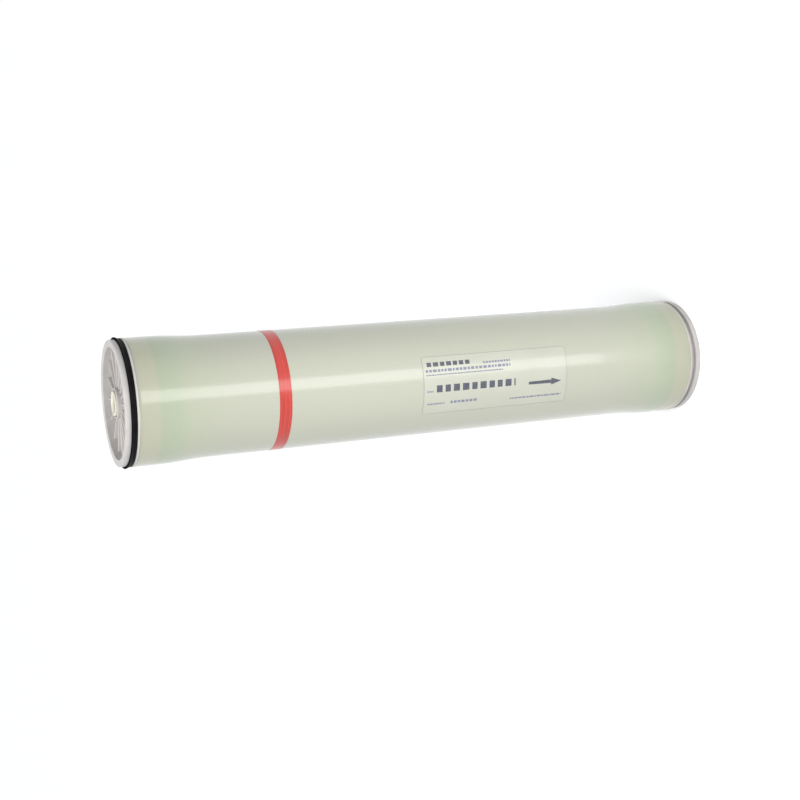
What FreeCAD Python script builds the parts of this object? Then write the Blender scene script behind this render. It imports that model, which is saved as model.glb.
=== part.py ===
import FreeCAD, Part
import math
import os
import Sketcher

# A spiral-wound reverse osmosis element of the 8 inch by 40 inch class, in millimetres.
# +Z runs along the permeate tube, from the concentrate end face at z = 0 to the feed end face,
# and the label faces -Y. Depths are measured from the nearer end face towards the middle.

SHEET = "Dimensions"

DRIVING = {
    # whole element and its wound roll
    "element_length": 1016.0,
    "roll_radius": 93.2,
    "roll_inset": 25.0,
    "wrap_wall": 0.6,
    # permeate tube, with a seat for the coupling at each end
    "seat_radius": 14.3,
    "seat_depth": 70.0,
    "seat_step": 0.9,
    "tube_wall": 4.7,
    "mouth_chamfer": 1.5,
    "tube_edge": 0.8,
    "drill_radius": 2.0,
    "drill_pitch": 150.0,
    "drill_margin": 60.0,
    "carrier_wall": 0.85,
    # end caps: rim, seal groove, flange and skirt
    "rim_setback": 1.9,
    "rim_wall": 5.6,
    "rim_draft": 0.6,
    "rim_edge": 1.0,
    "opening_edge": 1.5,
    "groove_depth_in": 8.2,
    "groove_width": 9.2,
    "groove_cut": 5.7,
    "flange_wall": 3.3,
    "skirt_gap": 0.1,
    "skirt_wall": 2.4,
    "skirt_depth_in": 50.0,
    "skirt_taper": 9.0,
    "skirt_tip": 0.5,
    "lock_offset": 3.3,
    "lock_width": 5.0,
    "lock_cut": 1.0,
    # end caps: hub and ribs
    "hub_wall": 5.4,
    "hub_draft": 0.7,
    "hub_gap": 0.1,
    "hub_recess": 2.5,
    "hub_edge": 1.2,
    "glue_gap": 2.3,
    "glue_depth": 3.0,
    "rib_recess": 8.0,
    "rib_base": 3.6,
    "rib_nose": 2.2,
    "rib_root": 2.0,
    "rib_count": 16.0,
    "rib_phase": 5.0,
    # tape that holds each skirt to the roll
    "tape_wall": 0.4,
    "tape_end": 84.0,
    # glass fibre shell
    "shell_wall": 2.8,
    "collar_wall": 3.9,
    "collar_depth_in": 56.0,
    "flare_run": 36.0,
    "shell_edge": 0.8,
    # brine seal, a U-cup that opens towards the feed
    "seal_side_gap": 0.3,
    "seal_reach": 2.0,
    "seal_heel": 2.8,
    "seal_leg": 1.7,
    "seal_tip": 0.9,
    "seal_rise": 0.6,
    # marker band and label on the shell, measured from the feed end face
    "band_distance": 238.0,
    "band_width": 20.0,
    "band_wall": 0.25,
    "label_distance": 481.0,
    "label_length": 265.0,
    "label_angle": 58.5,
    "label_turn": -9.5,
    "label_wall": 0.2,
    "label_corner": 5.0,
}

NEAR = 1e-4


class Size:
    """A length together with the sheet formula that gives it."""

    def __init__(self, value, formula):
        self.value = value
        self.formula = formula

    def joined(self, sign, other, value):
        return Size(value, "(%s %s %s)" % (self.formula, sign, other.formula))

    def __add__(self, other):
        other = as_size(other)
        return self.joined("+", other, self.value + other.value)

    def __sub__(self, other):
        other = as_size(other)
        return self.joined("-", other, self.value - other.value)

    def __mul__(self, other):
        other = as_size(other)
        return self.joined("*", other, self.value * other.value)

    def __truediv__(self, other):
        other = as_size(other)
        return self.joined("/", other, self.value / other.value)


def as_size(number):
    if isinstance(number, Size):
        return number
    return Size(float(number), repr(float(number)))


class Sizes:
    """Every driving dimension as an attribute, and the sizes that follow from several of them."""

    def __init__(self, driving):
        for name, value in driving.items():
            setattr(self, name, Size(value, SHEET + "." + name))
        self.zero = as_size(0)
        self.tube_radius = self.seat_radius + self.tube_wall
        self.bore_radius = self.seat_radius - self.seat_step
        self.wrap_outer = self.roll_radius + self.wrap_wall
        self.carrier_outer = self.tube_radius + self.carrier_wall
        self.roll_length = self.element_length - self.roll_inset * 2
        self.skirt_inner = self.wrap_outer + self.skirt_gap
        self.skirt_outer = self.skirt_inner + self.skirt_wall
        self.tip_outer = self.skirt_inner + self.skirt_tip
        self.taper_depth_in = self.skirt_depth_in - self.skirt_taper
        self.tape_landing = self.skirt_depth_in + self.skirt_tip * 4
        self.groove_end = self.groove_depth_in + self.groove_width
        self.shell_start = self.groove_end + self.flange_wall
        self.lock_depth_in = self.shell_start + self.lock_offset
        self.hub_bore = self.tube_radius + self.hub_gap
        self.hub_radius = self.hub_bore + self.hub_wall
        self.glue_radius = self.hub_bore + self.glue_gap
        self.shell_radius = self.wrap_outer + self.shell_wall
        self.collar_radius = self.skirt_outer + self.collar_wall
        self.rim_radius = self.collar_radius - self.rim_setback
        self.groove_floor = self.rim_radius - self.groove_cut
        self.rim_opening = self.groove_floor - self.rim_wall
        self.flare_end = self.collar_depth_in + self.flare_run
        drop = self.collar_radius - self.shell_radius
        self.flare_middle_radius = self.shell_radius + drop / 2
        self.flare_bend = (self.flare_run * self.flare_run + drop * drop) / (drop * 4)


def fill_sheet(doc, driving):
    sheet = doc.addObject("Spreadsheet::Sheet", SHEET)
    for row, (name, value) in enumerate(driving.items(), 1):
        sheet.set("A%d" % row, name)
        sheet.set("B%d" % row, repr(value))
        sheet.setAlias("B%d" % row, name)
    doc.recompute()
    return sheet


def new_body(doc, label):
    body = doc.addObject("PartDesign::Body", label)
    body.Label = label
    return body


def origin_feature(body, role):
    for feature in body.Origin.OriginFeatures:
        if feature.Role == role:
            return feature
    raise RuntimeError("no origin feature " + role)


def new_sketch(body, name, plane="XZ_Plane"):
    sketch = body.newObject("Sketcher::SketchObject", name)
    sketch.AttachmentSupport = [(origin_feature(body, plane), "")]
    sketch.MapMode = "FlatFace"
    return sketch


def hold_point(sketch, geometry, end, across, along):
    """Holds one end of a sketch element at its distances from the sketch's origin."""
    for kind, distance, axis in (("DistanceX", across, -2), ("DistanceY", along, -1)):
        if abs(distance.value) < NEAR:
            sketch.addConstraint(Sketcher.Constraint("PointOnObject", geometry, end, axis))
            continue
        index = sketch.addConstraint(
            Sketcher.Constraint(kind, -1, 1, geometry, end, distance.value)
        )
        sketch.setExpression("Constraints[%d]" % index, distance.formula)


def hold_radius(sketch, geometry, radius):
    index = sketch.addConstraint(Sketcher.Constraint("Radius", geometry, radius.value))
    sketch.setExpression("Constraints[%d]" % index, radius.formula)


def arc_between(start, stop, radius, turns_left):
    """The short arc of a radius from one point to another, and the numbers of its two ends."""
    chord = stop - start
    left = FreeCAD.Vector(-chord.y, chord.x, 0).normalize()
    reach = math.sqrt(radius**2 - (chord.Length / 2) ** 2)
    centre = (start + stop) * 0.5 + left * (reach if turns_left else -reach)
    circle = Part.Circle(centre, FreeCAD.Vector(0, 0, 1), radius)
    ends = [start, stop] if turns_left else [stop, start]
    angles = [math.atan2(end.y - centre.y, end.x - centre.x) for end in ends]
    return Part.ArcOfCircle(circle, angles[0], angles[1]), (1, 2) if turns_left else (2, 1)


def draw_outline(sketch, corners):
    """Draws a closed outline through corners that are held in place.

    A corner is its distances across and along, and an edge that leaves it as an arc adds the
    arc's radius and whether it turns left. Every other edge is straight.
    """
    points = [FreeCAD.Vector(corner[0].value, corner[1].value, 0) for corner in corners]
    edges = []
    ends = []
    for index, corner in enumerate(corners):
        start = points[index]
        stop = points[(index + 1) % len(points)]
        if len(corner) == 2:
            edges.append(Part.LineSegment(start, stop))
            ends.append((1, 2))
        else:
            arc, arc_ends = arc_between(start, stop, corner[2].value, corner[3])
            edges.append(arc)
            ends.append(arc_ends)
    sketch.addGeometry(edges, False)
    joints = []
    for index in range(len(corners)):
        following = (index + 1) % len(corners)
        joints.append(
            Sketcher.Constraint("Coincident", index, ends[index][1], following, ends[following][0])
        )
    sketch.addConstraint(joints)
    for index, corner in enumerate(corners):
        hold_point(sketch, index, ends[index][0], corner[0], corner[1])
        if len(corner) > 2:
            hold_radius(sketch, index, corner[2])


def turn_profile(body, name, corners, angle=None):
    """Turns an outline in the XZ plane round Z, the whole way or through an angle."""
    sketch = new_sketch(body, name + "_profile")
    draw_outline(sketch, corners)
    turned = body.newObject("PartDesign::Revolution", name)
    turned.Profile = sketch
    turned.ReferenceAxis = (sketch, ["V_Axis"])
    if angle is None:
        turned.Angle = 360
    else:
        turned.setExpression("Angle", angle.formula)
    body.Document.recompute()
    return turned


def ring_edges(shape, rings):
    """Names the circles round Z that have one of the given radii and heights."""
    names = []
    for index, edge in enumerate(shape.Edges, 1):
        if not isinstance(edge.Curve, Part.Circle):
            continue
        for radius, height in rings:
            same_radius = abs(edge.Curve.Radius - radius.value) < NEAR
            if same_radius and abs(edge.Curve.Center.z - height.value) < NEAR:
                names.append("Edge%d" % index)
    return names


def bevel_rings(body, base, name, rings, size):
    """Bevels ring edges of a feature by one size."""
    edges = ring_edges(base.Shape, rings)
    if len(edges) < len(rings):
        raise RuntimeError("%s finds %d of %d edges" % (name, len(edges), len(rings)))
    dressed = body.newObject("PartDesign::Chamfer", name)
    dressed.Base = (base, edges)
    dressed.setExpression("Size", size.formula)
    body.Document.recompute()
    return dressed


def sleeve(doc, label, inner, outer, bottom, length):
    """A plain tube between two radii, standing at a height."""
    cylinders = []
    for part, radius in (("outer", outer), ("inner", inner)):
        cylinder = doc.addObject("Part::Cylinder", "%s_%s" % (label, part))
        cylinder.setExpression("Radius", radius.formula)
        cylinder.setExpression("Height", length.formula)
        cylinder.setExpression("Placement.Base.z", bottom.formula)
        cylinders.append(cylinder)
    tube = doc.addObject("Part::Cut", label)
    tube.Base, tube.Tool = cylinders
    tube.Label = label
    return tube


def stand_on_feed_end(body, d):
    """Turns an end piece over about a level axis and moves it to the feed end face."""
    half_phase = (d.rib_phase / 2).formula
    body.Placement.Rotation = FreeCAD.Rotation(FreeCAD.Vector(1, 0, 0), 180)
    body.setExpression("Placement.Rotation.Axis.x", "cos(%s)" % half_phase)
    body.setExpression("Placement.Rotation.Axis.y", "-sin(%s)" % half_phase)
    body.setExpression("Placement.Base.z", d.element_length.formula)


# ---- permeate tube -------------------------------------------------------------------------


def drill_row(body, d, name, plane, first_hole):
    """Drills a row of holes through both walls of the tube, along Z."""
    sketch = new_sketch(body, name + "_circle", plane)
    centre = FreeCAD.Vector(0, first_hole.value, 0)
    sketch.addGeometry(Part.Circle(centre, FreeCAD.Vector(0, 0, 1), d.drill_radius.value), False)
    hold_point(sketch, 0, 3, d.zero, first_hole)
    hold_radius(sketch, 0, d.drill_radius)
    hole = body.newObject("PartDesign::Pocket", name)
    hole.Profile = sketch
    hole.Type = "ThroughAll"
    hole.Midplane = True
    body.Document.recompute()
    row = body.newObject("PartDesign::LinearPattern", name + "_row")
    row.Originals = [hole]
    row.Direction = (origin_feature(body, "Z_Axis"), [""])
    row.Mode = "Spacing"
    row.setExpression("Offset", d.drill_pitch.formula)
    span = d.roll_length - d.drill_margin * 2 - d.drill_pitch / 2
    row.setExpression("Occurrences", "floor(%s) + 1" % (span / d.drill_pitch).formula)
    body.Tip = row
    body.Document.recompute()
    return row


def make_permeate_tube(doc, d):
    """The central tube: coupling seats at both ends and four rows of drilled holes."""
    body = new_body(doc, "permeate_tube")
    mouth = d.seat_radius + d.mouth_chamfer
    top = d.element_length
    corners = [
        (mouth, d.zero),
        (d.tube_radius - d.tube_edge, d.zero),
        (d.tube_radius, d.tube_edge),
        (d.tube_radius, top - d.tube_edge),
        (d.tube_radius - d.tube_edge, top),
        (mouth, top),
        (d.seat_radius, top - d.mouth_chamfer * 2),
        (d.seat_radius, top - d.seat_depth),
        (d.bore_radius, top - d.seat_depth),
        (d.bore_radius, d.seat_depth),
        (d.seat_radius, d.seat_depth),
        (d.seat_radius, d.mouth_chamfer * 2),
    ]
    turn_profile(body, "tube_wall", corners)
    first_hole = d.roll_inset + d.drill_margin
    drill_row(body, d, "holes_along_y", "XZ_Plane", first_hole)
    drill_row(body, d, "holes_along_x", "YZ_Plane", first_hole + d.drill_pitch / 2)
    return body


# ---- wound roll ----------------------------------------------------------------------------


def make_carrier_wrap(doc, d):
    """The first turns of the permeate carrier, wound on the tube before the leaves."""
    return sleeve(
        doc, "carrier_wrap", d.tube_radius, d.carrier_outer, d.roll_inset, d.roll_length
    )


def make_membrane_scroll(doc, d):
    """The wound leaves: membrane, carrier and feed spacer, whose turns lie tight as one solid."""
    return sleeve(
        doc, "membrane_scroll", d.carrier_outer, d.roll_radius, d.roll_inset, d.roll_length
    )


def make_roll_wrap(doc, d):
    """The outer net and film round the leaves."""
    return sleeve(doc, "roll_wrap", d.roll_radius, d.wrap_outer, d.roll_inset, d.roll_length)


# ---- end caps ------------------------------------------------------------------------------


def lock_groove(d):
    """Corners of the V-shaped ring groove in the skirt that the shell's resin fills."""
    return [
        (d.skirt_outer, d.lock_depth_in),
        (d.skirt_outer - d.lock_cut, d.lock_depth_in + d.lock_width / 2),
        (d.skirt_outer, d.lock_depth_in + d.lock_width),
    ]


def rim_corners(d):
    """Section of rim, seal groove, flange and skirt, from the end face inwards."""
    back_opening = d.rim_opening - d.rim_draft
    return (
        [
            (d.rim_opening, d.zero),
            (d.rim_radius, d.zero),
            (d.rim_radius, d.groove_depth_in),
            (d.groove_floor, d.groove_depth_in),
            (d.groove_floor, d.groove_end),
            (d.collar_radius, d.groove_end),
            (d.collar_radius, d.shell_start),
            (d.skirt_outer, d.shell_start),
        ]
        + lock_groove(d)
        + [
            (d.skirt_outer, d.taper_depth_in),
            (d.tip_outer, d.skirt_depth_in),
            (d.skirt_inner, d.skirt_depth_in),
            (d.skirt_inner, d.roll_inset),
            (back_opening, d.roll_inset),
        ]
    )


def hub_corners(d):
    """Section of the hub, with a pocket for glue round the tube."""
    pocket_floor = d.hub_recess + d.glue_depth
    return [
        (d.glue_radius, d.hub_recess),
        (d.hub_radius - d.hub_draft, d.hub_recess),
        (d.hub_radius, d.roll_inset),
        (d.hub_bore, d.roll_inset),
        (d.hub_bore, pocket_floor),
        (d.glue_radius, pocket_floor),
    ]


def rib_corners(d):
    """Section across a rib: a wide back against the roll, drafted sides and a bevelled nose."""
    half_base = d.rib_base / 2
    half_nose = d.rib_nose / 2
    bevel = d.rib_nose / 4
    side = d.rib_recess + bevel
    right = [(half_base, d.roll_inset), (half_nose, side), (half_nose - bevel, d.rib_recess)]
    left = [(d.zero - across, along) for across, along in reversed(right)]
    return right + left


def make_ribs(body, d):
    """One rib from hub to rim, and the pattern that repeats it round the tube."""
    root = d.hub_radius - d.rib_root
    sketch = new_sketch(body, "rib_section", "YZ_Plane")
    sketch.setExpression("AttachmentOffset.Base.z", root.formula)
    draw_outline(sketch, rib_corners(d))
    rib = body.newObject("PartDesign::Pad", "rib")
    rib.Profile = sketch
    rib.setExpression("Length", (d.rim_opening + d.rib_root - root).formula)
    body.Document.recompute()
    ribs = body.newObject("PartDesign::PolarPattern", "ribs")
    ribs.Originals = [rib]
    ribs.Axis = (origin_feature(body, "Z_Axis"), [""])
    ribs.Angle = 360
    ribs.setExpression("Occurrences", d.rib_count.formula)
    body.Tip = ribs
    body.Document.recompute()
    return ribs


def make_end_cap(doc, d, label):
    """The moulded anti-telescoping cap: rim and skirt, ribs, hub, then its bevelled edges."""
    body = new_body(doc, label)
    turn_profile(body, "rim", rim_corners(d))
    make_ribs(body, d)
    hub = turn_profile(body, "hub", hub_corners(d))
    hub_rim = [(d.hub_radius - d.hub_draft, d.hub_recess)]
    hub_bevel = bevel_rings(body, hub, "hub_bevel", hub_rim, d.hub_edge)
    rim_bevel = bevel_rings(body, hub_bevel, "rim_bevel", [(d.rim_radius, d.zero)], d.rim_edge)
    bevel_rings(body, rim_bevel, "opening_bevel", [(d.rim_opening, d.zero)], d.opening_edge)
    return body


def make_feed_end_cap(doc, d):
    body = make_end_cap(doc, d, "feed_end_cap")
    stand_on_feed_end(body, d)
    return body


def make_concentrate_end_cap(doc, d):
    return make_end_cap(doc, d, "concentrate_end_cap")


# ---- skirt tapes ---------------------------------------------------------------------------


def tape_cover(d):
    """Outside of a skirt tape, from the top of the skirt's taper to its edge on the roll."""
    return [
        (d.skirt_outer + d.tape_wall, d.taper_depth_in),
        (d.wrap_outer + d.tape_wall, d.tape_landing),
        (d.wrap_outer + d.tape_wall, d.tape_end),
    ]


def make_end_tape(doc, d, label):
    """Tape wound over the tapered end of a skirt and on along the wrapped roll."""
    body = new_body(doc, label)
    inside = [
        (d.wrap_outer, d.tape_end),
        (d.wrap_outer, d.skirt_depth_in),
        (d.tip_outer, d.skirt_depth_in),
        (d.skirt_outer, d.taper_depth_in),
    ]
    turn_profile(body, "tape", tape_cover(d) + inside)
    return body


def make_feed_end_tape(doc, d):
    body = make_end_tape(doc, d, "feed_end_tape")
    stand_on_feed_end(body, d)
    return body


def make_concentrate_end_tape(doc, d):
    return make_end_tape(doc, d, "concentrate_end_tape")


# ---- shell ---------------------------------------------------------------------------------


def shell_inside(d):
    """Inside of the shell at one end: skirt with its lock groove, tape, then the roll."""
    return (
        [(d.skirt_outer, d.shell_start)]
        + lock_groove(d)
        + [(d.skirt_outer, d.taper_depth_in)]
        + tape_cover(d)
        + [(d.wrap_outer, d.tape_end)]
    )


def shell_outside(d):
    """Outside of the shell at one end: the flare from the middle, then the straight collar."""
    return [
        (d.shell_radius, d.flare_end, d.flare_bend, False),
        (d.flare_middle_radius, d.flare_end - d.flare_run / 2, d.flare_bend, True),
        (d.collar_radius, d.collar_depth_in),
        (d.collar_radius, d.shell_start),
    ]


def make_fibreglass_shell(doc, d):
    """The wound shell, moulded over both skirts and their tapes: one half, then its mirror."""
    body = new_body(doc, "fibreglass_shell")
    half = d.element_length / 2
    corners = [(d.wrap_outer, d.zero), (d.shell_radius, d.zero)]
    for corner in shell_outside(d) + shell_inside(d):
        corners.append((corner[0], half - corner[1]) + tuple(corner[2:]))
    wall = turn_profile(body, "half_wall", corners)
    end_ring = [(d.collar_radius, half - d.shell_start)]
    bevel_rings(body, wall, "end_bevel", end_ring, d.shell_edge)
    whole = body.newObject("PartDesign::Mirrored", "both_halves")
    whole.Originals = [wall, body.Tip]
    whole.MirrorPlane = (origin_feature(body, "XY_Plane"), [""])
    body.Tip = whole
    body.Placement.Base = FreeCAD.Vector(0, 0, half.value)
    body.setExpression("Placement.Base.z", half.formula)
    doc.recompute()
    return body


# ---- brine seal ----------------------------------------------------------------------------


def make_brine_seal(doc, d):
    """The U-cup in the feed cap's groove: a heel at the back and two legs open to the feed."""
    body = new_body(doc, "brine_seal")
    front = d.groove_depth_in + d.seal_side_gap
    back = d.groove_end - d.seal_side_gap
    root = back - d.seal_heel
    inner_leg = d.groove_floor + d.seal_leg
    lip = d.collar_radius + d.seal_reach
    back_rim = d.rim_radius + d.seal_rise
    corners = [
        (d.groove_floor, front),
        (inner_leg, front),
        (inner_leg, root),
        (back_rim - d.seal_leg, root),
        (lip - d.seal_tip, front),
        (lip, front),
        (back_rim, back),
        (d.groove_floor, back),
    ]
    turn_profile(body, "cup", corners)
    stand_on_feed_end(body, d)
    return body


# ---- marker band and label -----------------------------------------------------------------


def make_marker_band(doc, d):
    """A ring of coloured tape on the shell."""
    bottom = d.element_length - d.band_distance - d.band_width
    outer = d.shell_radius + d.band_wall
    return sleeve(doc, "marker_band", d.shell_radius, outer, bottom, d.band_width)


def corner_edges(shape, wall):
    """Names the four short edges through a thin patch that are as long as its wall."""
    names = []
    for index, edge in enumerate(shape.Edges, 1):
        if isinstance(edge.Curve, Part.Line) and abs(edge.Length - wall.value) < NEAR:
            names.append("Edge%d" % index)
    return names


def make_label(doc, d):
    """A thin round-cornered patch that follows the shell's middle, facing -Y."""
    body = new_body(doc, "label")
    outer = d.shell_radius + d.label_wall
    top = d.element_length - d.label_distance
    bottom = top - d.label_length
    corners = [
        (d.shell_radius, bottom),
        (outer, bottom),
        (outer, top),
        (d.shell_radius, top),
    ]
    patch = turn_profile(body, "patch", corners, d.label_angle)
    rounded = body.newObject("PartDesign::Fillet", "corner_round")
    rounded.Base = (patch, corner_edges(patch.Shape, d.label_wall))
    rounded.setExpression("Radius", d.label_corner.formula)
    doc.recompute()
    body.Placement.Rotation = FreeCAD.Rotation(FreeCAD.Vector(0, 0, 1), -90)
    turn = d.label_turn - d.label_angle / 2 - 90
    body.setExpression("Placement.Rotation.Angle", turn.formula)
    return body


# ---- document ------------------------------------------------------------------------------

MAKERS = [
    make_permeate_tube,
    make_carrier_wrap,
    make_membrane_scroll,
    make_roll_wrap,
    make_feed_end_cap,
    make_concentrate_end_cap,
    make_feed_end_tape,
    make_concentrate_end_tape,
    make_fibreglass_shell,
    make_brine_seal,
    make_marker_band,
    make_label,
]


def check_document(doc, pieces):
    """Stops if any object failed or any piece has no sound shape."""
    for item in doc.Objects:
        if "Invalid" in item.State or "Error" in item.State:
            raise RuntimeError("%s failed: %s" % (item.Label, item.State))
    for piece in pieces:
        if piece.Shape.isNull() or not piece.Shape.isValid():
            raise RuntimeError("%s has no valid shape" % piece.Label)


def main():
    doc = FreeCAD.newDocument("ro_membrane_element")
    fill_sheet(doc, DRIVING)
    sizes = Sizes(DRIVING)
    pieces = []
    for make in MAKERS:
        pieces.append(make(doc, sizes))
        doc.recompute()
    check_document(doc, pieces)
    os.makedirs("parts", exist_ok=True)
    for piece in pieces:
        piece.Shape.exportStep("parts/%s.step" % piece.Label)
        box = piece.Shape.BoundBox
        print(
            "%-22s solids %d faces %3d volume %11.1f x %7.2f..%7.2f y %7.2f..%7.2f z %7.2f..%7.2f"
            % (
                piece.Label,
                len(piece.Shape.Solids),
                len(piece.Shape.Faces),
                piece.Shape.Volume,
                box.XMin,
                box.XMax,
                box.YMin,
                box.YMax,
                box.ZMin,
                box.ZMax,
            )
        )


main()
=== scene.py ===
import math
import random

import bmesh
import bpy
from mathutils import Matrix, Vector


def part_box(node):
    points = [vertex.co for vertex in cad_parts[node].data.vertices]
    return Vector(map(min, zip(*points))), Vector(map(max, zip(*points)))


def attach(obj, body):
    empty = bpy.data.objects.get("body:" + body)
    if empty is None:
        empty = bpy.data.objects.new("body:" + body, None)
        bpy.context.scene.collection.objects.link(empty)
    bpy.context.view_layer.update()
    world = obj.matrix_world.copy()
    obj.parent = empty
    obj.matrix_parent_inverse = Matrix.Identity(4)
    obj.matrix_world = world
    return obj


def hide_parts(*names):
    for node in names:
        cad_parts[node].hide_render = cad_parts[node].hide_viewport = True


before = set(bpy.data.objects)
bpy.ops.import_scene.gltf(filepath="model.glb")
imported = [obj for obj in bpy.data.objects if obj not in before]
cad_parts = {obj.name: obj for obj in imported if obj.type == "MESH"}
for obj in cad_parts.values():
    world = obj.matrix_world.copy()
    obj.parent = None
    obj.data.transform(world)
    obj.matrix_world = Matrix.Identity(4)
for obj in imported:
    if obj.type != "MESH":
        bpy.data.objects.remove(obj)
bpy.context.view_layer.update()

# A spiral-wound reverse osmosis element that stands on its concentrate end, in metres.
# +Z runs along the permeate tube to the feed end, and the label faces -Y.
# Depths are measured from the nearer end face towards the middle.

MM = 0.001
# Keeps the outermost skins just inside the CAD box.
SKIN_INSET = 0.02 * MM

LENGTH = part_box("permeate_tube")[1].z
ROLL_LOW, ROLL_HIGH = (corner.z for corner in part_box("membrane_scroll"))
ROLL_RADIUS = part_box("membrane_scroll")[1].x
CARRIER_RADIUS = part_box("carrier_wrap")[1].x
BAND_LOW, BAND_HIGH = (corner.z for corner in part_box("marker_band"))
BAND_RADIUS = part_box("marker_band")[1].x - SKIN_INSET
LABEL_LOW, LABEL_HIGH = (corner.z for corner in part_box("label"))
SHELL_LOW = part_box("fibreglass_shell")[0].z
SEAL_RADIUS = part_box("brine_seal")[1].x - SKIN_INSET

SHELL_RADIUS = 96.6 * MM
SHELL_INNER = 94.2 * MM
SHELL_INNER_RUN = 15.0 * MM
SHELL_EDGE = 0.8 * MM
SHELL_WOBBLE = 0.05 * MM
COLLAR_RADIUS = 100.2 * MM
COLLAR_DEPTH = 56.0 * MM
# Longer than the flare of the part's source, and chosen against the photographed outline.
FLARE_RUN = 90.0 * MM
# Tape and label start below the shell's wobble.
UNDERSIDE = SHELL_RADIUS - 0.12 * MM
BAND_CREASE = 0.03 * MM

SKIRT_OUTER = 96.3 * MM
SKIRT_INNER = 93.9 * MM
SKIRT_TIP = 94.4 * MM
SKIRT_TAPER_DEPTH = 41.0 * MM
SKIRT_DEPTH = 50.0 * MM
ROLL_INSET = 25.0 * MM
RIM_OPENING = 87.0 * MM
RIM_RADIUS = 98.3 * MM
RIM_DRAFT = 0.6 * MM
GROOVE_FLOOR = 92.6 * MM
GROOVE_NEAR = 8.2 * MM
GROOVE_FAR = 17.4 * MM
HUB_RADIUS = 24.5 * MM
HUB_DRAFT = 0.7 * MM
HUB_BORE = 19.1 * MM
HUB_RECESS = 2.5 * MM
GLUE_RADIUS = 21.4 * MM
GLUE_DEPTH = 3.0 * MM
RIB_RECESS = 8.0 * MM
RIB_HALF_BASE = 1.8 * MM
RIB_HALF_NOSE = 1.1 * MM
RIB_COUNT = 16
RIB_SUNK = 2.0 * MM
FEED_RIB_TURN = math.radians(-5)

SEAL_CLEARANCE = 0.3 * MM
SEAL_FOOT = 1.7 * MM
SEAL_LIP = 0.9 * MM
SEAL_MOUTH_RADIUS = 97.2 * MM
SEAL_MOUTH_DEPTH = 5.8 * MM
SEAL_HEEL_RADIUS = 98.9 * MM
SEAL_WAIST_DEPTH = 4.6 * MM
SEAL_NOTCH = 0.7 * MM

TUBE_RADIUS = 19.0 * MM
TUBE_BORE = 13.4 * MM
SEAT_RADIUS = 14.3 * MM
SEAT_DEPTH = 70.0 * MM
MOUTH_CHAMFER = 1.5 * MM
MOUTH_DEPTH = 3.0 * MM
LEAF_PITCH = 3.0 * MM
LEAF_RELIEF = 0.45 * MM

LABEL_FROM = math.radians(-128.75)
LABEL_TO = math.radians(-70.25)
LABEL_CORNER = 5.0 * MM
LABEL_EDGE = 0.9 * MM
LABEL_TOP = SHELL_RADIUS + 0.2 * MM
BORDER_TOP = LABEL_TOP - 0.08 * MM
FILM_TOP = LABEL_TOP - 0.03 * MM
PRINT_INNER = LABEL_TOP - 0.06 * MM
PRINT_OUTER = LABEL_TOP - 0.01 * MM

# Rows of plain print: ink, start and stop from the feed end in mm, height and place above the
# middle of the front in degrees, shortest and longest block in mm.
PRINT_ROWS = [
    ("dark", 489, 566, 4.2, 11.6, 7.5, 9.5),
    ("light", 590, 640, 2.0, 9.8, 3.0, 5.0),
    ("light", 486, 640, 2.6, 5.4, 3.0, 7.0),
    ("light", 486, 625, 1.2, 1.4, 2.0, 5.0),
    ("dark", 504, 648, 7.0, -12.3, 9.0, 12.0),
    ("light", 487, 498, 1.6, -14.5, 3.0, 4.0),
    ("light", 489, 520, 1.6, -27.5, 3.0, 5.0),
    ("light", 530, 580, 2.6, -27.0, 4.0, 6.0),
    ("light", 640, 737, 1.8, -29.5, 3.0, 8.0),
]


# ---- materials -----------------------------------------------------------------------------

ZONE_SPAN = 200.0 * MM
ZONE_WANDER = 12.0 * MM
NET_STRANDS = 120
NET_LEAD = 6.0 * MM


def new_material(name, roughness, **sockets):
    """A node material with its shader's constant sockets set directly."""
    material = bpy.data.materials.new(name)
    material.use_nodes = True
    tree = material.node_tree
    shader = tree.nodes["Principled BSDF"]
    shader.inputs["Roughness"].default_value = roughness
    for socket, value in sockets.items():
        shader.inputs[socket.replace("_", " ")].default_value = value
    return material, tree, shader


def ramp(tree, value, stops):
    """A colour ramp driven by a value, from (position, colour) stops."""
    node = tree.nodes.new("ShaderNodeValToRGB")
    elements = node.color_ramp.elements
    while len(elements) < len(stops):
        elements.new(0.5)
    for element, (position, colour) in zip(elements, stops):
        element.position = position
        element.color = (*colour, 1.0)
    tree.links.new(value, node.inputs["Fac"])
    return node.outputs["Color"]


def colour_by(tree, shader, value, stops):
    """Colours the shader by a value, through a ramp."""
    tree.links.new(ramp(tree, value, stops), shader.inputs["Base Color"])


def noise(tree, scale, detail=4.0, roughness=0.55, stretch=(1.0, 1.0, 1.0)):
    """Noise in object coordinates, scaled by axis so that a pattern can run long one way."""
    coordinates = tree.nodes.new("ShaderNodeTexCoord")
    mapping = tree.nodes.new("ShaderNodeMapping")
    mapping.inputs["Scale"].default_value = stretch
    tree.links.new(coordinates.outputs["Object"], mapping.inputs["Vector"])
    node = tree.nodes.new("ShaderNodeTexNoise")
    node.inputs["Scale"].default_value = scale
    node.inputs["Detail"].default_value = detail
    node.inputs["Roughness"].default_value = roughness
    tree.links.new(mapping.outputs["Vector"], node.inputs["Vector"])
    return node.outputs["Fac"]


def maths(tree, operation, *values, clamp=False):
    """The result of a math node, from sockets and plain numbers."""
    node = tree.nodes.new("ShaderNodeMath")
    node.operation = operation
    node.use_clamp = clamp
    for index, value in enumerate(values):
        if isinstance(value, (int, float)):
            node.inputs[index].default_value = value
        else:
            tree.links.new(value, node.inputs[index])
    return node.outputs["Value"]


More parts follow.
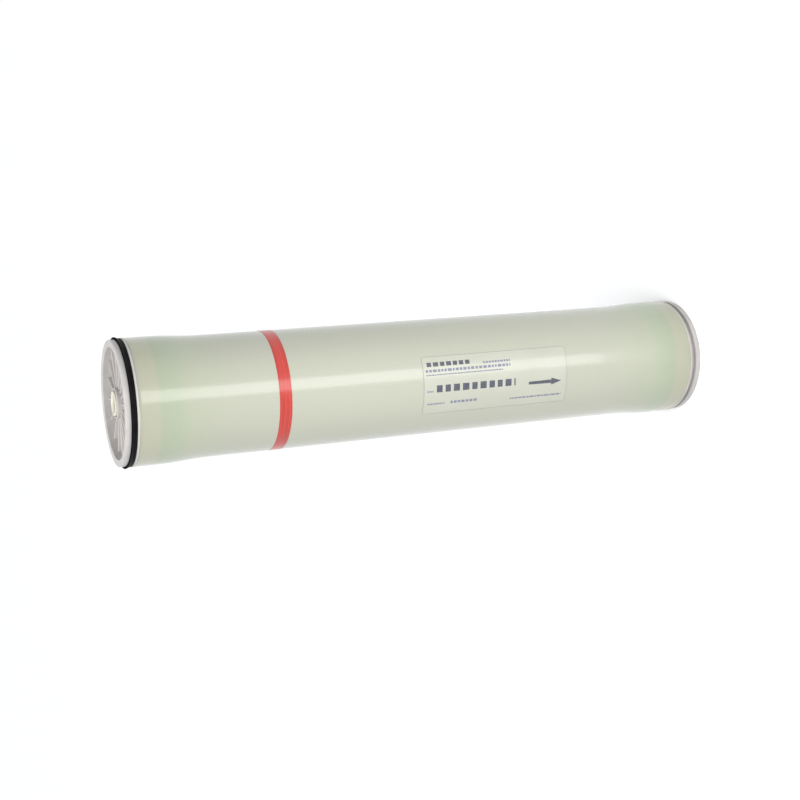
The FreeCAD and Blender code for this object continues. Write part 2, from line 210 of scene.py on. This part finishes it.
def tinted(tree, factor, colour, tint):
    """A colour mixed with a plain tint: a mix node has its colours at 6, 7 and result 2."""
    node = tree.nodes.new("ShaderNodeMix")
    node.data_type = "RGBA"
    tree.links.new(factor, node.inputs[0])
    tree.links.new(colour, node.inputs[6])
    node.inputs[7].default_value = (*tint, 1.0)
    return node.outputs[2]


def bump(tree, shader, height, distance, strength):
    node = tree.nodes.new("ShaderNodeBump")
    node.inputs["Distance"].default_value = distance
    node.inputs["Strength"].default_value = strength
    tree.links.new(height, node.inputs["Height"])
    tree.links.new(node.outputs["Normal"], shader.inputs["Normal"])


def object_axes(tree):
    """Object coordinates by axis, in metres."""
    coordinates = tree.nodes.new("ShaderNodeTexCoord")
    split = tree.nodes.new("ShaderNodeSeparateXYZ")
    tree.links.new(coordinates.outputs["Object"], split.inputs["Vector"])
    return split.outputs["X"], split.outputs["Y"], split.outputs["Z"]


def turn_round_z(tree, x, y):
    """Angle round Z as a share of a turn."""
    return maths(tree, "DIVIDE", maths(tree, "ARCTAN2", y, x), 2 * math.pi)


def wave(tree, turns):
    """Sine of a number of turns."""
    return maths(tree, "SINE", maths(tree, "MULTIPLY", turns, 2 * math.pi))


def strands(tree, turn, height, lead):
    """Height of a set of wound strands: ridges abreast that run round Z at a lead."""
    around = maths(tree, "MULTIPLY", turn, NET_STRANDS)
    along = maths(tree, "DIVIDE", height, lead)
    return maths(tree, "MULTIPLY_ADD", wave(tree, maths(tree, "ADD", around, along)), 0.5, 0.5)


def shell_material():
    """Clear resin over wound glass: beige on the skirts, greener on the tapes, cream between."""
    material, tree, shader = new_material(
        "wound_glass_resin", 0.24, Coat_Weight=0.55, Coat_Roughness=0.07, Specular_IOR_Level=0.45,
        Subsurface_Weight=0.06, Subsurface_Radius=(0.006, 0.006, 0.004),
    )
    _, _, height = object_axes(tree)
    depth = maths(tree, "MINIMUM", height, maths(tree, "SUBTRACT", LENGTH, height))
    wander = maths(tree, "SUBTRACT", noise(tree, 9.0, detail=2.0), 0.5)
    wandered = maths(tree, "MULTIPLY_ADD", wander, ZONE_WANDER, depth)
    share = maths(tree, "DIVIDE", wandered, ZONE_SPAN, clamp=True)
    zone = ramp(tree, share, [
        (0.00, (0.39, 0.38, 0.28)),
        (0.235, (0.39, 0.385, 0.285)),
        (0.275, (0.33, 0.375, 0.265)),
        (0.40, (0.345, 0.39, 0.28)),
        (0.50, (0.38, 0.40, 0.305)),
        (0.80, (0.40, 0.405, 0.325)),
        (1.00, (0.405, 0.405, 0.33)),
    ])
    blotch = noise(tree, 14.0, detail=5.0, roughness=0.6, stretch=(1.0, 1.0, 0.35))
    zone = tinted(tree, maths(tree, "MULTIPLY", blotch, 0.30), zone, (0.40, 0.44, 0.32))
    fibre = noise(tree, 22.0, detail=3.0, stretch=(40.0, 40.0, 3.0))
    zone = tinted(tree, maths(tree, "MULTIPLY", fibre, 0.12), zone, (0.62, 0.62, 0.54))
    tree.links.new(zone, shader.inputs["Base Color"])
    waves = noise(tree, 26.0, detail=3.0, stretch=(1.0, 1.0, 0.45))
    bump(tree, shader, waves, 0.6 * MM, 0.35)
    return material


def plastic_material(name, dark, light, roughness, grain=60.0, shine=0.4):
    """Moulded plastic with faint flow marks and a fine skin."""
    material, tree, shader = new_material(name, roughness, Specular_IOR_Level=shine)
    colour_by(tree, shader, noise(tree, grain, detail=6.0), [(0.3, dark), (0.7, light)])
    bump(tree, shader, noise(tree, 12 * grain, detail=2.0), 0.1 * MM, 0.3)
    return material


def band_material():
    """Glossy red tape with fine lines round the element."""
    material, tree, shader = new_material(
        "red_tape", 0.28, Coat_Weight=0.4, Coat_Roughness=0.12
    )
    lines = noise(tree, 1.6, detail=3.0, stretch=(6.0, 6.0, 420.0))
    colour_by(tree, shader, lines, [(0.3, (0.36, 0.018, 0.012)), (0.7, (0.56, 0.042, 0.026))])
    bump(tree, shader, lines, 0.2 * MM, 0.4)
    return material


def leaf_material():
    """Edges of the wound leaves: paler and darker layers in a tight spiral, two to a pitch."""
    material, tree, shader = new_material("leaf_edges", 0.7, Specular_IOR_Level=0.25)
    x, y, _ = object_axes(tree)
    square = maths(tree, "MULTIPLY_ADD", x, x, maths(tree, "MULTIPLY", y, y))
    layers = maths(tree, "DIVIDE", maths(tree, "SQRT", square), LEAF_PITCH / 2)
    spiral = wave(tree, maths(tree, "ADD", layers, turn_round_z(tree, x, y)))
    grain = noise(tree, 160.0, detail=5.0)
    share = maths(tree, "ADD", maths(tree, "MULTIPLY_ADD", spiral, 0.22, 0.5), grain)
    colour_by(tree, shader, share, [(0.3, (0.68, 0.64, 0.62)), (1.0, (0.85, 0.81, 0.78))])
    bump(tree, shader, share, 0.4 * MM, 0.6)
    return material


def net_material():
    """Woven net and film: two sets of crossed strands."""
    material, tree, shader = new_material("woven_net", 0.55, Specular_IOR_Level=0.3)
    x, y, height = object_axes(tree)
    turn = turn_round_z(tree, x, y)
    rising = strands(tree, turn, height, NET_LEAD)
    falling = strands(tree, turn, height, -NET_LEAD)
    crossed = maths(tree, "MAXIMUM", rising, falling)
    colour_by(tree, shader, crossed, [(0.3, (0.42, 0.44, 0.40)), (0.9, (0.70, 0.71, 0.66))])
    bump(tree, shader, crossed, 0.4 * MM, 0.7)
    return material


def ink_material(name, colour):
    """Thin print that lets a little of the film's grain through."""
    material, tree, shader = new_material(name, 0.5)
    pale = tuple(0.6 * channel + 0.18 for channel in colour)
    colour_by(tree, shader, noise(tree, 900.0, detail=3.0), [(0.45, colour), (0.8, pale)])
    return material


def label_material():
    """Clear glossy film over the resin, a little paler than the shell around it."""
    material, tree, shader = new_material(
        "label_film_coat", 0.3, Coat_Weight=0.5, Coat_Roughness=0.12
    )
    cloud = noise(tree, 22.0, detail=3.0, stretch=(1.0, 1.0, 0.5))
    colour_by(tree, shader, cloud, [(0.3, (0.415, 0.42, 0.345)), (0.7, (0.45, 0.455, 0.38))])
    bump(tree, shader, cloud, 0.3 * MM, 0.3)
    return material


# ---- meshes --------------------------------------------------------------------------------


def finish_mesh(name, data, material, node=None, smooth_angle=35.0):
    """Makes a piece of (vertices, faces): shading, material, body and replaced node."""
    mesh = bpy.data.meshes.new(name)
    mesh.from_pydata(data[0], [], data[1])
    work = bmesh.new()
    work.from_mesh(mesh)
    bmesh.ops.recalc_face_normals(work, faces=work.faces)
    work.to_mesh(mesh)
    work.free()
    mesh.shade_smooth()
    mesh.set_sharp_from_angle(angle=math.radians(smooth_angle))
    mesh.materials.append(material)
    piece = bpy.data.objects.new(name, mesh)
    bpy.context.scene.collection.objects.link(piece)
    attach(piece, "root")
    if node:
        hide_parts(node)


def joined(parts):
    """One (vertices, faces) pair from several."""
    vertices, faces = [], []
    for part_vertices, part_faces in parts:
        first = len(vertices)
        vertices += part_vertices
        faces += [tuple(first + index for index in face) for face in part_faces]
    return vertices, faces


def rounded(corners, steps=4):
    """An outline of (radius, depth) whose corners with a third number are rounded by it."""
    points = []
    for index, corner in enumerate(corners):
        here = Vector(corner[:2])
        if len(corner) == 2:
            points.append(tuple(here))
            continue
        before = here + (Vector(corners[index - 1][:2]) - here).normalized() * corner[2]
        following = corners[(index + 1) % len(corners)]
        after = here + (Vector(following[:2]) - here).normalized() * corner[2]
        for step in range(steps + 1):
            share = step / steps
            bent = before.lerp(here, share).lerp(here.lerp(after, share), share)
            points.append(tuple(bent))
    return points


def closed_faces(sides, count):
    """Quads between neighbouring outlines of count points, closed along and round."""
    faces = []
    for side in range(sides):
        here = side * count
        there = (side + 1) % sides * count
        for index in range(count):
            beside = (index + 1) % count
            faces.append((here + index, there + index, there + beside, here + beside))
    return faces


def lathe(outline, sides=240, wobble=None):
    """Turns a closed outline of (radius, height) round Z."""
    vertices = []
    for side in range(sides):
        angle = 2 * math.pi * side / sides
        for radius, height in outline:
            grown = radius + (wobble(angle, radius, height) if wobble else 0.0)
            vertices.append((grown * math.cos(angle), grown * math.sin(angle), height))
    return vertices, closed_faces(sides, len(outline))


def prism(section, start, stop, turn):
    """A bar with a section of (across, height) from one radius to another, turned about Z."""
    vertices = []
    for reach in (start, stop):
        for across, height in section:
            vertices.append((
                reach * math.cos(turn) - across * math.sin(turn),
                reach * math.sin(turn) + across * math.cos(turn),
                height,
            ))
    count = len(section)
    faces = [tuple(range(count)), tuple(range(2 * count - 1, count - 1, -1))]
    for index in range(count):
        beside = (index + 1) % count
        faces.append((index, count + index, count + beside, beside))
    return vertices, faces


def from_feed(outline):
    """Heights of an outline whose depths are measured from the feed end face."""
    return [(first, LENGTH - depth) for first, depth in outline]


def from_concentrate(outline):
    """Depths from the concentrate end face, which are heights as they are."""
    return outline


# ---- shell, seal and band ------------------------------------------------------------------


def shell_radius_at(depth):
    """Outer radius of the shell: collar, two tangent curves of flare, then straight."""
    drop = COLLAR_RADIUS - SHELL_RADIUS
    share = min(max((depth - COLLAR_DEPTH) / FLARE_RUN, 0.0), 1.0)
    eased = 2 * share * share if share < 0.5 else 1 - 2 * (1 - share) ** 2
    return COLLAR_RADIUS - drop * eased


def shell_wobble(angle, radius, height):
    """Slow unevenness of hand-wound glass, always inwards, outside only."""
    if radius < SHELL_RADIUS - 0.2 * MM:
        return 0.0
    slow = math.sin(3 * angle + height * 21) * math.sin(height * 13 + 1.3)
    return -SHELL_WOBBLE * (1 + slow)


def make_shell():
    """The wound shell with its collars, flares and rounded end edges."""
    rows = 220
    bevel = 0.3 * SHELL_EDGE
    corner = [
        (COLLAR_RADIUS - SHELL_EDGE, SHELL_LOW),
        (COLLAR_RADIUS - bevel, SHELL_LOW + bevel),
    ]
    first = SHELL_LOW + SHELL_EDGE
    outside = []
    for row in range(rows + 1):
        height = first + (LENGTH - 2 * first) * row / rows
        outside.append((shell_radius_at(min(height, LENGTH - height)), height))
    inside = [
        (SKIRT_OUTER, SHELL_LOW),
        (SKIRT_OUTER, COLLAR_DEPTH - SHELL_INNER_RUN),
        (SHELL_INNER, COLLAR_DEPTH),
    ]
    outline = corner + outside + from_feed(corner)[::-1] + from_feed(inside) + inside[::-1]
    data = lathe(outline, 200, shell_wobble)
    finish_mesh("fibreglass_shell_skin", data, shell_material(), "fibreglass_shell", 30)


def make_seal(material):
    """The U-cup: two ridges outside, and a mouth between its legs that opens to the feed."""
    near = GROOVE_NEAR + SEAL_CLEARANCE
    far = GROOVE_FAR - SEAL_CLEARANCE
    slope = (SEAL_RADIUS - SEAL_HEEL_RADIUS) / (far - near)
    leg = GROOVE_FLOOR + SEAL_FOOT
    mouth = near + SEAL_MOUTH_DEPTH
    waist = near + SEAL_WAIST_DEPTH

    def back_at(depth):
        return SEAL_RADIUS - slope * (depth - near)

    outline = rounded([
        (GROOVE_FLOOR, near, 0.3 * MM),
        (leg, near, 0.5 * MM),
        (leg, mouth, 0.8 * MM),
        (SEAL_MOUTH_RADIUS, mouth, 0.8 * MM),
        (SEAL_RADIUS - SEAL_LIP, near, 0.3 * MM),
        (SEAL_RADIUS, near, 0.3 * MM),
        (back_at(waist - SEAL_NOTCH), waist - SEAL_NOTCH, 0.3 * MM),
        (back_at(waist) - SEAL_NOTCH, waist, 0.3 * MM),
        (back_at(waist + SEAL_NOTCH), waist + SEAL_NOTCH, 0.3 * MM),
        (SEAL_HEEL_RADIUS, far, 0.6 * MM),
        (GROOVE_FLOOR, far, 0.3 * MM),
    ])
    finish_mesh("brine_seal_cup", lathe(from_feed(outline)), material, "brine_seal")


def make_band(material):
    """Two turns of tape that lie a little uneven on each other."""
    edge = 0.1 * MM
    rows = 14
    outline = [(UNDERSIDE, BAND_LOW), (BAND_RADIUS - edge, BAND_LOW)]
    for row in range(rows + 1):
        height = BAND_LOW + edge + (BAND_HIGH - BAND_LOW - 2 * edge) * row / rows
        outline.append((BAND_RADIUS, height))
    outline += [(BAND_RADIUS - edge, BAND_HIGH), (UNDERSIDE, BAND_HIGH)]

    def crease(angle, radius, height):
        if radius < BAND_RADIUS - edge / 2:
            return 0.0
        return -BAND_CREASE * (1 + math.sin(height * 2600 + 2 * math.sin(angle * 3)))

    data = lathe(outline, wobble=crease)
    finish_mesh("red_band", data, material, "marker_band", 50)


# ---- end caps ------------------------------------------------------------------------------


def rim_section():
    """Rim, seal groove, flange and skirt by radius and depth."""
    return rounded([
        (RIM_OPENING, 0.0, 1.5 * MM),
        (RIM_RADIUS, 0.0, 1.0 * MM),
        (RIM_RADIUS, GROOVE_NEAR, 0.3 * MM),
        (GROOVE_FLOOR, GROOVE_NEAR, 0.3 * MM),
        (GROOVE_FLOOR, GROOVE_FAR, 0.3 * MM),
        (COLLAR_RADIUS, GROOVE_FAR, 0.4 * MM),
        (COLLAR_RADIUS, SHELL_LOW, 0.3 * MM),
        (SKIRT_OUTER, SHELL_LOW),
        (SKIRT_OUTER, SKIRT_TAPER_DEPTH),
        (SKIRT_TIP, SKIRT_DEPTH),
        (SKIRT_INNER, SKIRT_DEPTH),
        (SKIRT_INNER, ROLL_INSET),
        (RIM_OPENING - RIM_DRAFT, ROLL_INSET),
    ])


def hub_section():
    """Hub with a pocket of glue round the tube, by radius and depth."""
    return rounded([
        (GLUE_RADIUS, HUB_RECESS, 0.5 * MM),
        (HUB_RADIUS - HUB_DRAFT, HUB_RECESS, 1.2 * MM),
        (HUB_RADIUS, ROLL_INSET),
        (HUB_BORE, ROLL_INSET),
        (HUB_BORE, HUB_RECESS + GLUE_DEPTH, 0.4 * MM),
        (GLUE_RADIUS, HUB_RECESS + GLUE_DEPTH, 0.4 * MM),
    ])


def rib_section():
    """Wide back against the roll, drafted sides and a round nose, by across and depth."""
    centre = RIB_RECESS + RIB_HALF_NOSE
    steps = 8
    section = [(RIB_HALF_BASE, ROLL_INSET)]
    for step in range(steps + 1):
        swing = math.pi * step / steps
        section.append((RIB_HALF_NOSE * math.cos(swing), centre - RIB_HALF_NOSE * math.sin(swing)))
    section.append((-RIB_HALF_BASE, ROLL_INSET))
    return section


def make_end_cap(name, place, first_rib, material):
    """Rim, hub and ribs of one cap, placed by a function of its outline."""
    parts = [lathe(place(rim_section())), lathe(place(hub_section()), 96)]
    for rib in range(RIB_COUNT):
        turn = first_rib + 2 * math.pi * rib / RIB_COUNT
        section = place(rib_section())
        parts.append(prism(section, HUB_RADIUS - RIB_SUNK, RIM_OPENING + RIB_SUNK, turn))
    finish_mesh(name + "_moulding", joined(parts), material, name, 40)


# ---- tube and wound roll -------------------------------------------------------------------


def make_tube(material):
    """The permeate tube with a coupling seat and a chamfered mouth at each end."""
    end = rounded([
        (TUBE_BORE, SEAT_DEPTH),
        (SEAT_RADIUS, SEAT_DEPTH, 0.3 * MM),
        (SEAT_RADIUS, MOUTH_DEPTH, 0.6 * MM),
        (SEAT_RADIUS + MOUTH_CHAMFER, 0.0, 0.3 * MM),
        (TUBE_RADIUS, 0.0, 0.8 * MM),
        (TUBE_RADIUS, ROLL_INSET),
    ])
    data = lathe(end + from_feed(end)[::-1], 96)
    finish_mesh("permeate_tube_wall", data, material, "permeate_tube", 40)


def make_scroll(material):
    """The wound leaves: ends with the spiral of their edges in relief."""
    sides = 160
    rings = 190
    vertices = []
    for side in range(sides):
        angle = 2 * math.pi * side / sides
        column = []
        for ring in range(rings + 1):
            radius = CARRIER_RADIUS + (ROLL_RADIUS - CARRIER_RADIUS) * ring / rings
            phase = radius / LEAF_PITCH + side / sides
            sunk = LEAF_RELIEF * (0.5 + 0.5 * math.sin(2 * math.pi * phase))
            column.append((radius, sunk))
        both = [(radius, ROLL_LOW + sunk) for radius, sunk in column]
        both += [(radius, ROLL_HIGH - sunk) for radius, sunk in reversed(column)]
        for radius, height in both:
            vertices.append((radius * math.cos(angle), radius * math.sin(angle), height))
    data = (vertices, closed_faces(sides, 2 * (rings + 1)))
    finish_mesh("wound_leaves", data, material, "membrane_scroll", 60)


# ---- label ---------------------------------------------------------------------------------


def wrapped(columns, inner, outer):
    """A thin solid on a cylinder from columns of (angle, near, far), far from the feed end."""
    vertices = []
    for angle, near, far in columns:
        for radius in (inner, outer):
            x, y = radius * math.cos(angle), radius * math.sin(angle)
            vertices += [(x, y, LENGTH - near), (x, y, LENGTH - far)]
    faces = [(0, 1, 3, 2)]
    for index in range(len(columns) - 1):
        here, there = 4 * index, 4 * index + 4
        for first, second in ((0, 1), (1, 3), (3, 2), (2, 0)):
            faces.append((here + first, here + second, there + second, there + first))
    last = 4 * (len(columns) - 1)
    faces.append((last, last + 1, last + 3, last + 2))
    return vertices, faces


def sheet(low, high, near, far, corner, outer, steps=90, corner_steps=8):
    """A round-cornered rectangle that starts under the shell's surface."""
    reach = corner / outer
    bends = [1 - math.cos(math.pi / 2 * step / corner_steps) for step in range(corner_steps + 1)]
    angles = [low + reach * bend for bend in bends]
    angles += [low + reach + (high - low - 2 * reach) * step / steps for step in range(1, steps)]
    angles += [high - reach * bend for bend in reversed(bends)]
    columns = []
    for angle in angles:
        from_edge = min(angle - low, high - angle) / reach
        cut = 0.0
        if from_edge < 1:
            cut = corner * (1 - math.sqrt(max(0.0, 1 - (1 - from_edge) ** 2)))
        columns.append((angle, near + cut, far - cut))
    return wrapped(columns, UNDERSIDE, outer)


def row_of_marks(rng, near, far, height_angle, centre, shortest, longest, steps=8):
    """A generic row of print: plain blocks of varied length with gaps between them."""
    gap = 0.45 * height_angle * PRINT_OUTER
    parts = []
    start = near
    while start < far:
        length = min(rng.uniform(shortest, longest), far - start)
        columns = []
        for step in range(steps + 1):
            angle = centre + height_angle * (step / steps - 0.5)
            columns.append((angle, start, start + length))
        parts.append(wrapped(columns, PRINT_INNER, PRINT_OUTER))
        start += length + gap
    return parts


def arrow(tail, neck, tip, shaft, head, centre, steps=10):
    """A flow arrow that points away from the feed end: shaft and head are half angles."""
    columns = []
    for step in range(-steps, steps + 1):
        offset = step / steps
        end = tip - (tip - neck) * abs(offset)
        start = tail if abs(offset) * head < shaft else neck
        columns.append((centre + offset * head, start, max(end, neck + 0.2 * MM)))
    return wrapped(columns, PRINT_INNER, PRINT_OUTER)


def label_angle(degrees):
    """Angle round Z of a place on the label, from its angle above the middle of the front."""
    return math.radians(degrees - 90)


def make_label():
    """Clear film with a grey edge, rows of plain print and a flow arrow."""
    near, far = LENGTH - LABEL_HIGH, LENGTH - LABEL_LOW
    edge_ink = ink_material("label_edge_ink", (0.26, 0.28, 0.25))
    border = sheet(LABEL_FROM, LABEL_TO, near, far, LABEL_CORNER, BORDER_TOP)
    finish_mesh("label_border", border, edge_ink)
    inset = LABEL_EDGE / LABEL_TOP
    film = sheet(LABEL_FROM + inset, LABEL_TO - inset, near + LABEL_EDGE, far - LABEL_EDGE,
                 LABEL_CORNER - LABEL_EDGE, FILM_TOP)
    finish_mesh("label_film", film, label_material(), "label")

    rng = random.Random(8)
    marks = {"dark": [], "light": []}
    for ink, start, stop, height, centre, shortest, longest in PRINT_ROWS:
        marks[ink] += row_of_marks(rng, start * MM, stop * MM, math.radians(height),
                                   label_angle(centre), shortest * MM, longest * MM)
    marks["dark"].append(arrow(tail=673 * MM, neck=716 * MM, tip=735 * MM,
                               shaft=math.radians(1.7), head=math.radians(3.6),
                               centre=label_angle(-15)))
    dark_ink = ink_material("dark_ink", (0.045, 0.05, 0.075))
    pale_ink = ink_material("pale_ink", (0.16, 0.17, 0.24))
    finish_mesh("label_print_dark", joined(marks["dark"]), dark_ink)
    finish_mesh("label_print_light", joined(marks["light"]), pale_ink)


# ---- camera, light and floor ---------------------------------------------------------------

CAMERA_PLACE = Vector((0.0363, -1.9974, 1.3636))
CAMERA_AIM = Vector((-0.0360, -0.0013, 0.5397))
PICTURE_UP = Vector((0.99618, 0.0, -0.08733))
CAMERA_LENS = 57.85
CAMERA_SENSOR = 36.0
CAMERA_REACH = 200.0

FLOOR_REACH = 90.0
FLOOR_DROP = 0.2 * MM
SUN_STRENGTH = 2.5
SUN_ANGLE = math.radians(40)
SUN_PLACE = (0.0, 0.0, 3.0)
STRIP_PLACE = (0.045, -0.40, 0.50)
STRIP_AIM = (0.0, 0.0, 0.50)
STRIP_SIZE = (0.98, 0.13)
STRIP_POWER = 1.25
FACE_BOX_PLACE = (-0.7, -1.3, 2.0)
FACE_BOX_AIM = (0.0, 0.0, 0.9)
FACE_BOX_SIZE = (1.0, 1.0)
FACE_BOX_POWER = 17.0
SKY_COLOUR = (0.9, 0.95, 1.0, 1.0)
SKY_STRENGTH = 0.35


def make_camera():
    """Sees the element lying across the picture, from the feed end's side."""
    forward = (CAMERA_AIM - CAMERA_PLACE).normalized()
    right = forward.cross(PICTURE_UP).normalized()
    up = right.cross(forward)
    data = bpy.data.cameras.new("camera")
    data.lens = CAMERA_LENS
    data.sensor_width = CAMERA_SENSOR
    data.clip_end = CAMERA_REACH
    camera = bpy.data.objects.new("camera", data)
    turn = Matrix((right, up, -forward)).transposed().to_4x4()
    camera.matrix_world = Matrix.Translation(CAMERA_PLACE) @ turn
    bpy.context.scene.collection.objects.link(camera)
    bpy.context.scene.camera = camera


def make_floor():
    """A plain pale ground, just below the end face so that the two don't share a plane."""
    mesh = bpy.data.meshes.new("floor")
    corners = [(-1, -1), (1, -1), (1, 1), (-1, 1)]
    mesh.from_pydata([(x * FLOOR_REACH, y * FLOOR_REACH, 0) for x, y in corners], [], [(0, 1, 2, 3)])
    floor = bpy.data.objects.new("floor", mesh)
    floor.location.z = -FLOOR_DROP
    bpy.context.scene.collection.objects.link(floor)
    material, tree, shader = new_material("pale_floor", 0.9, Specular_IOR_Level=0.1)
    stops = [(0.2, (0.90, 0.90, 0.90)), (0.8, (0.93, 0.93, 0.93))]
    colour_by(tree, shader, noise(tree, 3.0), stops)
    mesh.materials.append(material)


def add_area(name, place, aim, size, power):
    """A soft box that the camera doesn't see."""
    data = bpy.data.lights.new(name, "AREA")
    data.shape = "RECTANGLE"
    data.size, data.size_y = size
    data.energy = power
    light = bpy.data.objects.new(name, data)
    light.visible_camera = False
    light.location = place
    direction = Vector(aim) - Vector(place)
    light.rotation_euler = direction.to_track_quat("-Z", "X").to_euler()
    bpy.context.scene.collection.objects.link(light)


def make_lights():
    """A soft sun from above, a strip that draws the shell's streak, a box for the feed face."""
    data = bpy.data.lights.new("overhead", "SUN")
    data.energy = SUN_STRENGTH
    data.angle = SUN_ANGLE
    sun = bpy.data.objects.new("overhead", data)
    sun.location = SUN_PLACE
    bpy.context.scene.collection.objects.link(sun)

    add_area("strip", STRIP_PLACE, STRIP_AIM, STRIP_SIZE, STRIP_POWER)
    add_area("face_box", FACE_BOX_PLACE, FACE_BOX_AIM, FACE_BOX_SIZE, FACE_BOX_POWER)

    world = bpy.data.worlds.new("world")
    world.use_nodes = True
    background = world.node_tree.nodes["Background"]
    background.inputs["Color"].default_value = SKY_COLOUR
    background.inputs["Strength"].default_value = SKY_STRENGTH
    bpy.context.scene.world = world
    bpy.context.scene.view_settings.view_transform = "Standard"


def paint_node(node, material):
    """Gives a CAD node that stays in the model its material."""
    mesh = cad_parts[node].data
    mesh.materials.clear()
    mesh.materials.append(material)


# ---- whole element -------------------------------------------------------------------------

make_camera()
make_floor()
make_lights()
make_shell()
make_seal(plastic_material(
    "seal_rubber", (0.004, 0.004, 0.004), (0.009, 0.009, 0.009), 0.55, shine=0.06
))
make_band(band_material())
cap_plastic = plastic_material("cap_plastic", (0.50, 0.475, 0.455), (0.56, 0.535, 0.515), 0.42)
make_end_cap("feed_end_cap", from_feed, FEED_RIB_TURN, cap_plastic)
make_end_cap("concentrate_end_cap", from_concentrate, 0.0, cap_plastic)
make_tube(plastic_material("tube_plastic", (0.74, 0.71, 0.60), (0.80, 0.77, 0.67), 0.36))
make_scroll(leaf_material())
make_label()
net = net_material()
paint_node("carrier_wrap", net)
paint_node("roll_wrap", net)
tape_film = plastic_material(
    "tape_film", (0.36, 0.42, 0.29), (0.42, 0.48, 0.34), 0.35, grain=90.0
)
paint_node("feed_end_tape", tape_film)
paint_node("concentrate_end_tape", tape_film)
